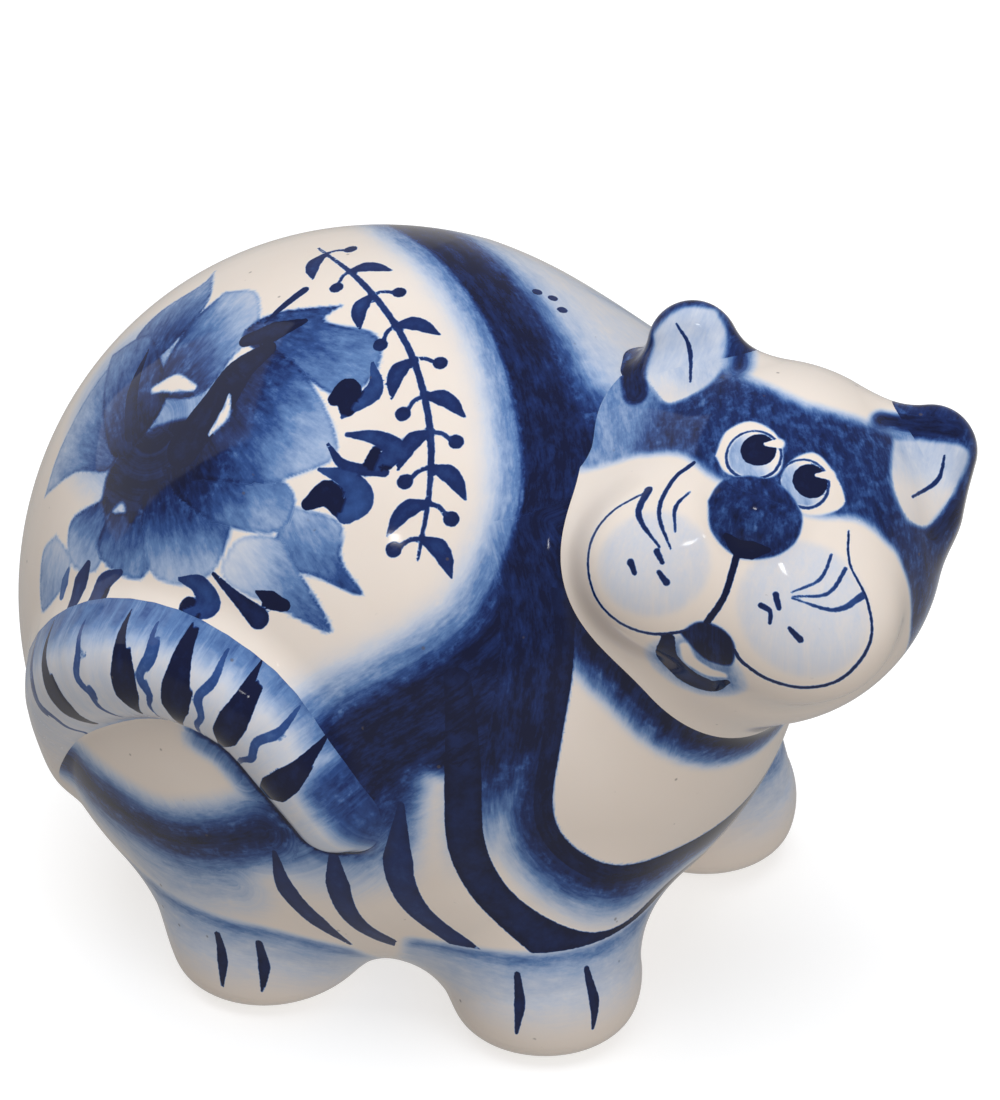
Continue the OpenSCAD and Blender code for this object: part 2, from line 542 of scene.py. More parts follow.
# outline, where the brush lands and lifts, dark, light, shading towards one side
PETALS = [
    ([(-33, 48), (-26, 41.5), (-28, 32), (-36, 33.5), (-36.5, 38.5), (-32, 44.5)],
     (-29, 32), (-34, 46), 0.75, 0.4, 0.2),
    ([(-41.5, 10), (-41.5, 18), (-38, 30), (-28, 24), (-27, 17), (-34, 15)],
     (-27, 19), (-42, 20), 0.7, 0.3, 0.2),
    ([(-41, 31), (-34, 35), (-27, 32), (-22.5, 28), (-22.4, 24), (-26, 18.5), (-32, 22)],
     (-24, 20), (-38, 32), 0.95, 0.5, 0.3),
    ([(-24.5, 44), (-18.6, 44.8), (-14, 39.5), (-15, 35), (-17, 29), (-24.3, 28), (-26, 37)],
     (-22, 29), (-19, 45), 0.85, 0.22, -0.4),
    ([(-26, 13.5), (-32, 9), (-30, 4), (-25, 4.5), (-24, 9)],
     (-25, 14), (-30, 3), 0.75, 0.25, 0.3),
    ([(-35, 6.5), (-30.5, 4.8), (-31, 1), (-36, -4), (-38, 3)],
     (-34, 7), (-35, -4), 0.2, 0.42, 0.0),
    ([(1.3, 19), (7.5, 18.4), (9, 14), (12.4, 10.4), (6.1, 11.4), (0, 12)],
     (0, 20), (11, 10.5), 0.3, 0.66, -0.5),
    ([(-6, 10), (-4.4, 13.6), (0.4, 14.8), (3.8, 12), (9.6, 5.4), (3.5, 6.4), (-4.5, 8)],
     (-5, 13), (8, 6), 0.14, 0.62, 0.5),
    ([(-4.5, 46), (-5.2, 43), (2.5, 43), (5, 38.3), (2.4, 33.4), (-5, 35), (-15, 37.5), (-13.5, 42)],
     (-14, 39), (4, 38), 0.8, 0.5, -0.3),
    ([(-24.5, 12), (-25.4, 7.4), (-21.9, 5.4), (-16.5, 6), (-17, 13)],
     (-21, 17), (-21, 5), 0.95, 0.5, 0.3),
    ([(-20, 15), (-15.9, 18), (-6.7, 16.5), (-6.4, 10), (-10, 6.6), (-16, 7)],
     (-17, 18), (-9, 7), 0.95, 0.28, -0.4),
    ([(-18, 19), (-10.4, 21.4), (-3, 22), (1.2, 20), (0.4, 15.6), (-6.4, 14.6), (-13, 16)],
     (-13, 22), (-3, 14), 0.98, 0.4, 0.0),
    ([(-13, 19), (-14.5, 33), (-10.8, 37), (-5.8, 36), (-1.4, 33.4), (3, 29.4), (4.4, 26), (1.5, 23.2),
      (-3.5, 20.6)], (-14, 31), (3, 24.5), 1.0, 0.3, 0.25),
]

# The dark heart of the flower.
CORE = [(-26.8, 13), (-25, 11.4), (-22.8, 13.6), (-20.5, 11.4), (-18.6, 15), (-15, 18.6), (-12.4, 21),
        (-13.4, 26), (-18, 25.4), (-23, 22.6), (-26.8, 17.5)]
# How much paler the wash is on the back, as painted reflection of the glaze there, and how much lower the
# left flank's painting sits.
BACK_PAINTED_REFLECTION = 0.74
FAR_SIDE_LOWER = 15.0

# points of the line, widths from start to end, tone
FLANK_STROKES = [
    ([(-16, 22), (-13.8, 28), (-12.9, 33), (-10.6, 37)], [5, 5.2, 4.6, 2.4], 0.98),
    ([(-14.6, 37.4), (-11.6, 39.4), (-8, 42.2)], [2, 3.4, 1], 0.95),
    ([(-25.5, 22), (-29, 27), (-31, 33)], [2.6, 2.2, 0.4], 0.9),
    ([(-13.5, 40.5), (-12.5, 44), (-11.5, 47)], [0.5, 1.1, 1.3], 0.85),
    ([(4, 39), (5.8, 35.5), (3.4, 31)], [0.6, 2.6, 0.6], 0.7),
    ([(1.6, 33), (2.6, 34.6), (3.6, 32.2)], [2, 3.4, 2.2], 1.0),
    ([(3, 27.2), (6, 25.2), (11, 25.6)], [0.5, 1.6, 1.2], 0.8),
    ([(4.8, 29), (8.4, 29.6), (11.4, 28.6), (9.8, 26)], [0.6, 1.8, 2.8, 2.2], 0.75),
    ([(9, 27.8), (9.4, 26), (11, 26.6)], [1.4, 2.4, 1.4], 1.0),
    ([(3, 24), (7, 23.6), (9.2, 21.4), (8, 19.6)], [0.5, 2.2, 3.6, 2.6], 0.7),
    ([(3, 19.6), (5, 21.4), (6.8, 20)], [1.6, 3.4, 2], 1.0),
    ([(-0.6, 8), (2, 7.3), (3.2, 7.2)], [0.5, 2.4, 1.6], 1.0),
    ([(-6.8, 8.8), (-3.6, 7), (0.2, 5)], [0.5, 1.4, 2.8], 0.9),
    ([(-11.4, 7), (-8.4, 7), (-6.4, 5), (-8.6, 4)], [0.5, 2.4, 3, 2.4], 0.72),
    ([(-9, 4.3), (-7.4, 4.1)], [2.2, 2.2], 1.0),
    ([(-26.5, 5), (-27.4, 2), (-27.2, -0.6)], [1, 2.8, 2.2], 0.8),
    ([(-27.3, 1), (-27.2, -0.6)], [2.2, 1.8], 1.0),
    ([(-20.5, 5.5), (-22.8, 3.4), (-22.4, 0)], [1, 3, 3.2], 0.78),
    ([(-22, 3), (-21.6, 0)], [1.4, 2], 1.0),
    ([(-30.4, 3.4), (-31, 1), (-31, -0.4)], [0.5, 1.5, 1.2], 0.55),
]

BELLY_STROKES = [
    ([(3.4, -27), (4.6, -35), (11, -45.6)], [0.8, 3, 2.8, 0.5], 0.82),
    ([(11.6, -24), (12.2, -36), (15.7, -42.4), (22.5, -46.4)], [0.8, 3.4, 3, 2.4, 0.5], 0.82),
    ([(20.5, -16), (20.4, -29), (24.5, -37.6), (36, -43.8)], [1, 4, 3.6, 3, 0.5], 0.82),
]

# Middle line of the painted border that follows the medallion's edge.
BORDER = [(-17, 56), (-4, 50.5), (7, 43), (13.8, 34), (17, 25), (18, 16)]
BORDER_LEAVES = 10

# Outline of the cream bib on the chest chart, and the stroke that runs round it.
BIB = [(-8, 44), (-9.5, 31), (-13, 18), (-14, 10), (-12, 4.5), (-7, 0), (-1, -2), (8, -2.5), (17, -2),
       (23, 0), (28, 4.5), (30, 10), (29, 18), (24, 31), (22, 44)]
BIB_STROKE = [(-25, 27), (-25, 14), (-24, 4), (-20, -4), (-13, -9.5), (-4, -12.4), (8, -13), (20, -12),
              (29, -8), (36, 0), (39, 10), (39, 20)]


def across(uv, path):
    """Signed distance from an open line, positive on its right, with the arc length."""
    line = curve(path)
    d, _, at, side = measure(uv, line)
    return d * side, at


def paint_border(canvas, uv, where):
    """A running vine: leaves to either side of a thin stem, with berries between."""
    line = curve(BORDER, 24)
    canvas.stroke(uv, BORDER, [0.4, 0.9, 0.9, 0.9, 0.4], 0.76, where)
    for i in range(BORDER_LEAVES):
        k = int((i + 0.5) / BORDER_LEAVES * (len(line) - 2))
        along = unit(line[k + 1] - line[k])
        out = np.array([-along[1], along[0]]) * (1 if i % 2 else -1)
        root = line[k]
        leaf = [root, root + 2.6 * out + 1.2 * along, root + 4.4 * out + 4.4 * along]
        canvas.stroke(uv, leaf, [0.8, 2.4, 1.9, 0.3], 0.78, where)
        stalk = [root, root - 1.4 * out + 0.4 * along, root - 2.6 * out + 1.6 * along]
        canvas.stroke(uv, stalk, [0.6, 0.6], 0.76, where)
        canvas.spot(uv, root - 3.1 * out + 1.8 * along, 1.0, 0.84, where)


def paint_flank(canvas, far):
    """The medallion, its flower and border, and the shoulder in front of it."""
    p = canvas.points * ([-1, 1, 1] if far else [1, 1, 1])
    uv = chart(p, BODY_CENTER, FLANK, BODY_REACH)
    x = canvas.points[:, 0]
    if far:
        # The first side's medallion reaches over the spine, so this one sits lower.
        uv[:, 1] += FAR_SIDE_LOWER * smooth_step(-25.0, 5.0, uv[:, 1])
    cover = smooth_step(0.0, 2.0, x) if far else smooth_step(28.0, 16.0, x)
    index = np.nonzero(cover > 0)[0]
    u, v = uv[index].T

    # Shoulder: dark from the medallion's edge forward, paler on the back as painted reflection of the glaze,
    # open below.
    s, at = across(uv[index], MEDALLION)
    s = -s
    halo = 0.5 * np.exp(-np.square(s / 3.2))
    feather = 1.0 + 2.4 * smooth_step(24, 6, v)
    front = smooth_step(-feather, feather, s)
    sponged = 0.1 * smooth_step(12, 18, s) * smooth_step(2, 14, v)
    # The paler wash on the top of the back is painted reflection.
    deep = 0.95 - sponged - BACK_PAINTED_REFLECTION * smooth_step(33, 45, v) * smooth_step(6, 13, s)
    low = smooth_step(-37, -14, v - 0.5 * np.maximum(u - 14, 0))
    low = low * (1 - smooth_step(6, -1, u) * smooth_step(2, -8, v))
    low = low * (1 - 0.9 * np.exp(-np.square((u - 24.8) / 2.8)) * smooth_step(-9.0, -12.5, v))
    tone = np.maximum(halo, deep * front) * low
    canvas.lay(index, cover[index], tone)
    canvas.grain[index] = np.stack([s, at * WASH_DRAWN], axis=-1)

    # Flower on its pale ground, strokes round it, glints in its heart, border, and dots on the back.
    side = x > 26 if far else x <= 20
    canvas.soft_stroke(uv, [(-32, 26), (-22, 24)], 20, 5, 0.42, side)
    for outline, base, tip, dark, light, shade in PETALS:
        canvas.petal(uv, outline, base, tip, dark, light, side, shade)
    canvas.patch(uv, CORE, 0.4, 0.98, side)
    for points, widths, tone in FLANK_STROKES + BELLY_STROKES:
        canvas.stroke(uv, points, widths, tone, side)
    canvas.clear(uv, [(-12.6, 30), (-12, 27.5), (-13, 24.5)], [0.4, 1.6, 0.4], side)
    canvas.clear(uv, [(-25, 28), (-22, 29.5), (-18.5, 29.6)], [1, 2.6, 1], side)
    paint_border(canvas, uv, side)
    for dot in ((18.9, 62), (21.7, 62), (24.2, 59.5)):
        canvas.spot(uv, dot, 0.9, 0.8, side)
    return uv, side


def paint_chest(canvas, where):
    uv = chart(canvas.points, BODY_CENTER, CHEST, BODY_REACH)
    on_chest = (uv[:, 1] > -30) & (uv[:, 1] < 46) & (np.abs(uv[:, 0] - 8) < 45)
    index = np.nonzero(where & on_chest)[0]
    d = closed_distance(uv[index], curve([*BIB, BIB[0]]))
    _, _, at, _ = measure(uv[index], curve(BIB))
    low = smooth_step(44, 30, uv[index, 1])
    bib = 1 - smooth_step(-0.2, 0.2, d)
    band = 0.97 * (1 - smooth_step(1.5, 9.5, d)) * low
    canvas.wash[index] = np.maximum(canvas.wash[index], band) * (1 - bib)
    rim = np.abs(d - 1.2) - 1.2
    crisp = (rim < canvas.edge[index]) & (low > 0.5)
    canvas.edge[index] = np.where(crisp, rim, canvas.edge[index])
    canvas.tone[index] = np.where(crisp, 0.93, canvas.tone[index])
    close = d < 9
    canvas.grain[index[close]] = np.stack([d, at * WASH_DRAWN], axis=-1)[close]
    canvas.stroke(uv, BIB_STROKE, [3.6, 4.6, 4.6, 4.4, 4.6, 5.6, 5.6, 5, 4.5, 4, 3], 0.93, where)


def paint_under_tail(canvas, uv, where):
    canvas.soft_stroke(uv, [(-30, -32), (-18, -37), (-4, -35)], 7, 5, 0.3, where)
    canvas.soft_stroke(uv, [(-34, -24), (-25, -27.5), (-13, -29.5), (-4, -27), (2, -24)], 8, 4, 0.94, where)


def paint_tail_crease_shade(canvas, where):
    """Painted shade: a dark line and a softer halo in the fold under the tail and round its tip."""
    index = np.nonzero(where & (canvas.points[:, 0] < TAIL_SIDE_X))[0]
    p = canvas.points[index]
    _, at, out = tail_space(p)
    gap, _ = tail_form(p)
    side = np.maximum(smooth_step(1.0, -2.5, out), smooth_step(4.0, 1.0, at)) * smooth_step(28.0, 18.0, at)
    line = smooth_step(1.5, 0.7, gap) * side
    halo = 0.6 * smooth_step(5.0, 1.0, gap) * side
    canvas.lay(index, smooth_step(0.0, 0.4, halo), np.maximum(np.maximum(halo, line), canvas.wash[index]))


# How far a leg's paint reaches from its middle.
LEG_PAINT_REACH = 19


def paint_legs(canvas):
    """A pale wash below a line round each leg's outer side, and two toe lines."""
    p = canvas.points
    for name, (x, y) in FEET.items():
        side = math.copysign(1.0, x)
        away = np.hypot(p[:, 0] - x, p[:, 1] - y)
        index = np.nonzero((away < LEG_PAINT_REACH) & (p[:, 2] < 21))[0]
        dx, dy = (p[index, 0] - x) * side, p[index, 1] - y
        angle = np.arctan2(-dy, dx)
        top = 17.0 if y < 0 else 16.0 - 4.0 * smooth_step(0.4, 1.5, angle)
        z = p[index, 2] - top
        wash = 0.22 * np.exp(-np.square((z + 0.8) / 1.4)) + 0.26 * smooth_step(-13, -1, z)
        outside = smooth_step(3.0, 1.9, np.abs(angle))
        mask = smooth_step(0.8, -0.8, z) * smooth_step(LEG_PAINT_REACH, 17, away[index]) * outside
        canvas.lay(index, mask, wash, np.stack([z, angle * 3.0], axis=-1))
        canvas.edge[index] = np.maximum(canvas.edge[index], np.clip(-z, -FAR_EDGE, FAR_EDGE))
        uv = np.full((len(p), 2), OFF_CHART)
        uv[index] = np.stack([angle * LEG_RADIUS, z], axis=-1)
        for toe in (8, 54) if y < 0 else (0, 25):
            a = math.radians(toe) * LEG_RADIUS
            line = [(a, -3), (a + 0.5, -7), (a + 0.2, -11)]
            canvas.stroke(uv, line, [0.9, 1.5, 0.4], 0.9, away < LEG_PAINT_REACH)


# Drops across the tail and the wavy lines between them, in millimetres from the tail's tip.
TAIL_DROPS = (7.5, 16, 23, 29.8, 42)
TAIL_WAVES = (11.8, 19.5, 26.4, 35, 47)
TAIL_WASH_ENDS = (66.0, 52.0)


def paint_tail(canvas, where):
    index = np.nonzero(where)[0]
    _, at, out = tail_space(canvas.points[index])
    uv = np.full((len(canvas.points), 2), OFF_CHART)
    uv[index] = np.stack([at, out], axis=-1)
    wash = 0.42 * smooth_step(3.6, 7.0, out) + 0.3 * smooth_step(-4.0, -7.0, out) + 0.12
    wash = np.maximum(wash, 0.75 * smooth_step(-1.0, 4.0, out) * smooth_step(9.0, 4.0, at))
    canvas.wash[index] = wash * smooth_step(*TAIL_WASH_ENDS, at)
    canvas.grain[index] = np.stack([at, out * WASH_DRAWN], axis=-1)
    canvas.edge[index] = FAR_EDGE
    for a in TAIL_DROPS:
        canvas.stroke(uv, [(a + 1.2, 7), (a, 2.5), (a - 0.4, -4)], [0.3, 1.8, 3.4, 3.6, 1.0], 0.97, where)
    for a in TAIL_WAVES:
        wave = [(a + 0.9, 6.4), (a + 0.2, 4), (a + 0.9, 1.6), (a - 0.2, -0.6), (a + 0.2, -2.6),
                (a - 0.4, -5.4)]
        canvas.stroke(uv, wave, [0.5, 1.3, 1.1, 0.8, 0.4], 0.62, where)


def paint_body(canvas, owner):
    """Everything but the head and the ears."""
    head = forms(canvas.points)["head"]
    paint_flank(canvas, True)
    uv, right = paint_flank(canvas, False)
    trunk = owner != PIECES.index("tail")
    paint_under_tail(canvas, uv, right)
    # Painted shade in the fold under the tail.
    paint_tail_crease_shade(canvas, trunk)
    paint_chest(canvas, trunk)
    # The fold under the head is painted dark on the side that the face turns to: dark paint, and partly
    # painted shade in the crease under the head.
    p = canvas.points
    fold = smooth_step(8.0, 2.5, head) * smooth_step(9.0, -3.0, p[:, 0]) * smooth_step(84, 76, p[:, 2]) * 0.97
    canvas.darken(canvas.every, fold, 0.5)
    paint_legs(canvas)
    paint_tail(canvas, owner == PIECES.index("tail"))


# Face, on a chart round the face's own axis.
EYE_WHITES = [[(-8.2, 8.2), (-8.3, 11.9), (-5.9, 14.5), (-2.3, 14.1), (-0.1, 11.9), (0.5, 8.6),
               (-1.9, 6.6), (-5.7, 6.3)],
              [(1, 7.7), (1.5, 11.1), (4, 13.3), (7.4, 11.6), (10, 8.5), (8, 5.9), (4.5, 4.9)]]
# middle of the iris, its radius, and the middle of the pupil
EYES = [((-3.4, 9.9), 3.6, (-3.1, 10.8)), ((4.1, 8.7), 3.3, (4.7, 9.3))]
NOSE_OUTLINE = [(-6.4, 2.1), (-5.8, 4.9), (-3.2, 6.6), (0.4, 7.2), (3.6, 6), (5.5, 3.9), (5.4, 0.7),
                (3.1, -1.9), (-0.6, -3.1), (-4.5, -1.3)]
FACE_LINES = [
    ([(-0.6, -3), (-0.3, -8), (-1.3, -12)], [0.9, 0.8, 0.9], 0.95),
    ([(-14.2, 0.6), (-16.8, -3.5), (-17, -7.8), (-14.4, -12.6), (-11, -14.8), (-7.3, -15.2), (-3.8, -14),
      (-1.1, -12)], [0.3, 0.4, 0.4, 0.4, 0.6], 0.8),
    ([(11.6, 5), (12.6, 1), (15.4, -2.4), (16.8, -6.5), (15.2, -11.4), (12, -14.2), (8, -15.4), (4.5, -15),
      (3, -14)], [0.3, 0.35, 0.45, 0.45, 0.6], 0.85),
    ([(-10.6, 6.4), (-12, 3.4), (-11.4, -1), (-8, -4.8)], [0.6, 0.6, 0.5, 0.25], 0.8),
    ([(-9.2, 2.4), (-9.8, 0), (-8.4, -2.8)], [0.3, 0.5, 0.25], 0.75),
    ([(-14.2, 0.8), (-13.2, -2.4), (-9.2, -5)], [1.1, 0.6, 0.25], 0.8),
    ([(10.2, 1.2), (9.6, -2), (7, -4.6)], [0.4, 0.4, 0.2], 0.7),
    ([(12.2, 0.2), (10.8, -3.2), (7.2, -5)], [0.5, 0.4, 0.2], 0.7),
    ([(14.8, -2), (12, -4.6), (7.2, -5.2)], [0.8, 0.45, 0.2], 0.7),
    ([(-9.3, -5.5), (-8.2, -6.5)], [0.7, 0.5], 0.85),
    ([(-11.4, -7.5), (-10.5, -8.5)], [0.8, 0.5], 0.85),
    ([(-8.2, -7.6), (-7, -8.5)], [0.5, 0.8], 0.85),
    ([(5.4, -5.6), (6.2, -6.8)], [0.8, 0.6], 0.85),
    ([(4.2, -7.4), (5.4, -7.6), (5.8, -8.8)], [0.7, 0.6, 0.4], 0.85),
    ([(8, -8.4), (9.4, -9)], [0.5, 0.8], 0.85),
]
NOSE_SHADE = [(-2.6, -1.2), (-0.4, -2.0), (2.8, -1.0)]
CHEEK_SHADES = [((-9.1, -6.9), 6.3), ((8.6, -5.8), 7.8)]
CHIN = (-1.0, -19.8)
MOUTH = [(-4, -14.2), (-2.3, -12.2), (0.6, -12), (2.9, -13.4), (3.2, -16.4), (0.6, -17.6), (-1.6, -16.6)]
LIP = [(-5.2, -15.4), (-5.0, -19.4), (-2.2, -22.4), (1.6, -22.6), (3.6, -20.0)]
TEETH = [(-3.2, -16.2), (-2.0, -18.8), (0.6, -19.8), (2.8, -19.0)]


def paint_face(canvas, owner):
    q = head_space(canvas.points)
    uv = chart(q, np.zeros(3), FACE, HEAD_REACH)
    u, v = uv[:, 0], uv[:, 1]
    skin = np.ones(len(u), bool)

    # Mask over the brow: its lower edge follows the cheeks, its upper edge crosses between the ears.
    aside = np.abs(u)
    lower = 4.6 + 2.2 * np.exp(-np.square((aside - 13) / 5)) - 0.45 * np.maximum(aside - 19, 0) ** 1.3
    upper = 19.5 + 0.12 * aside**1.25
    mask = smooth_step(-0.8, 1.6, v - lower) * smooth_step(2.4, -1.6, v - upper) * smooth_step(40, 30, aside)
    tone = 0.84 - 0.4 * smooth_step(-17, -24, u)
    canvas.lay(canvas.every, mask, tone, np.stack([v * 0.6 + u * 0.8, u * 0.2 - v * 0.2], axis=-1))
    for center, radius in CHEEK_SHADES:
        d = length(uv - np.array(center))
        shade = 0.1 * smooth_step(radius + 1.2, radius - 1.4, d)
        canvas.darken(canvas.every, shade, 0.08)
    for outline in EYE_WHITES:
        canvas.patch(uv, outline, 0.22, 0.0, skin)
    # An eye: a soft shade in the iris, its ring, the pupil and a glint.
    for center, radius, pupil in EYES:
        d = length(uv - np.array(center))
        low_left = smooth_step(-1.0, 2.6, (pupil[0] - u) * 0.6 + (pupil[1] - v) * 0.8)
        index = np.nonzero(d < radius)[0]
        canvas.lay(index, smooth_step(radius, radius - 0.5, d[index]), 0.34 * low_left[index])
        turns = np.linspace(0, 2 * math.pi, 17)
        ring = [(center[0] + radius * math.cos(a), center[1] + radius * math.sin(a)) for a in turns]
        canvas.stroke(uv, ring, [0.4, 0.3, 0.45, 0.4], 0.72, skin)
        canvas.spot(uv, pupil, 2.35, 1.0, skin)
        glint = [(pupil[0] + 0.5, pupil[1] + 1.1), (pupil[0] + 2.2, pupil[1] + 1.9)]
        canvas.clear(uv, glint, [0.5, 1.5], skin)
    canvas.patch(uv, NOSE_OUTLINE, 0.25, 0.86, skin, True)
    canvas.stroke(uv, NOSE_SHADE, [1.0, 2.2, 2.4, 0.8], 1.0, skin)
    halo = length((uv - np.array(CHIN)) / [1.25, 1.0])
    shade = 0.42 * smooth_step(6.8, 3.6, halo)
    canvas.darken(canvas.every, shade, 0.15)
    canvas.stroke(uv, LIP, [1.6, 3.2, 3.5, 2.8, 0.8], 0.93, skin)
    canvas.clear(uv, TEETH, [1.2, 2.0, 2.0, 1.0], skin)
    canvas.patch(uv, MOUTH, 0.25, 0.97, skin, True)
    for points, widths, tone in FACE_LINES:
        canvas.stroke(uv, points, widths, tone, skin)
    paint_ears(canvas, q, owner)


# By side, in the plane of the head: the pale inside of the ear, its dark edges and its fine line.
EAR_INSIDES = {
    -1: [(14.8, 24.0), (18.6, 22.6), (20.6, 18.6), (20.0, 14.0), (18.0, 12.4), (15.1, 11.2), (11.8, 14.6),
         (11.2, 18.0), (12.2, 21.5)],
    1: [(10.8, 16.6), (14.5, 18.0), (19.2, 18.6), (19.6, 14.0), (18.6, 8.8), (16.2, 8.0), (13.6, 10.2),
        (11.9, 13.0)],
}
EAR_EDGES = {
    -1: [([(21.6, 17.0), (21.2, 13.5), (19.8, 11.2)], 3.0, 0.5), ([(9.4, 18.4), (10.4, 20.6)], 2.4, 1.4)],
    1: [([(8.6, 18.2), (12.0, 19.0), (17.0, 20.4)], 2.0, 0.7), ([(20.2, 12.0), (19.0, 7.6)], 1.6, 0.6)],
}
EAR_LINES = {-1: [(18.4, 20.6), (16.0, 18.6), (14.0, 14.6)], 1: [(16.9, 17.0), (17.2, 14.0), (15.4, 11.0)]}


def paint_ears(canvas, q, owner):
    for side, name in ((-1, "ear_right"), (1, "ear_left")):
        here = owner == PIECES.index(name)
        canvas.lay(canvas.every, here, 0.84, q[:, [0, 2]] * [1.0, WASH_DRAWN])
        uv = q[:, [0, 2]] * [side, 1.0]
        front = (q[:, 1] < -EAR_FORWARD) & (uv[:, 0] > 7) & (uv[:, 1] > 6)
        canvas.patch(uv, EAR_INSIDES[side], 0.5, 0.2, front, True)
        base = front & (canvas.wash < 0.3)
        canvas.wash[base] *= 0.2 + 0.8 * smooth_step(11, 16, uv[base, 1])
        # Dark soft strokes along the ears' edges; down the right ear's outer edge this is the ear's dark
        # paint and partly painted shade on its shaded side.
        for points, width, soft in EAR_EDGES[side]:
            canvas.soft_stroke(uv, points, width, soft, 0.95, front)
        canvas.stroke(uv, EAR_LINES[side], [0.3, 0.6, 0.3], 0.8, front)


# ---- Materials

def linear(*channels):
    """A screen colour, 0 to 255, as light."""
    light = [((c / 255 + 0.055) / 1.055) ** 2.4 if c > 10 else c / 255 / 12.92 for c in channels]
    return (*light, 1.0)


# Cobalt over the clay: how much of it, and the colour that it gives.
PIGMENT = [(0.0, linear(238, 226, 215)), (0.14, linear(205, 211, 224)), (0.3, linear(160, 180, 212)),
           (0.48, linear(98, 132, 182)), (0.66, linear(48, 80, 140)), (0.82, linear(25, 45, 98)),
           (1.0, linear(14, 22, 56))]


class Nodes:
    """Short names for adding and wiring shader nodes."""

    def __init__(self, name):
        self.material = bpy.data.materials.new(name)
        self.material.use_nodes = True
        self.tree = self.material.node_tree
        self.shader = self.tree.nodes["Principled BSDF"]

    def add(self, kind, **settings):
        node = self.tree.nodes.new("ShaderNode" + kind)
        for key, value in settings.items():
            setattr(node, key, value)
        return node

    def put(self, socket, value):
        if isinstance(value, bpy.types.NodeSocket):
            self.tree.links.new(value, socket)
        else:
            socket.default_value = value

    def fill(self, node, values):
        for name, value in values.items():
            self.put(node.inputs[name], value)

    def math(self, operation, a, b=0.0, c=0.0, clamp=False):
        node = self.add("Math", operation=operation, use_clamp=clamp)
        for socket, value in zip(node.inputs, (a, b, c)):
            self.put(socket, value)
        return node.outputs[0]

    def span(self, value, lo, hi, to_lo=0.0, to_hi=1.0):
        node = self.add("MapRange", interpolation_type="SMOOTHSTEP")
        for socket, v in zip(node.inputs, (value, lo, hi, to_lo, to_hi)):
            self.put(socket, v)
        return node.outputs[0]

    def noise(self, vector, scale, detail=2.0, roughness=0.5):
        node = self.add("TexNoise")
        self.fill(node, {"Vector": vector, "Scale": scale, "Detail": detail, "Roughness": roughness})
        return node.outputs["Fac"]

    def attribute(self, name, output="Fac"):
        return self.add("Attribute", attribute_name=name).outputs[output]

    def blend(self, fac, a, b, mode="MIX"):
        node = self.add("Mix", data_type="RGBA", blend_type=mode)
        self.fill(node, {"Factor": fac, "A": a, "B": b})
        return node.outputs["Result"]

    def bump(self, height, distance, strength=1.0):
        node = self.add("Bump")
        self.fill(node, {"Strength": strength, "Distance": distance, "Height": height})
        self.fill(self.shader, {"Normal": node.outputs["Normal"]})


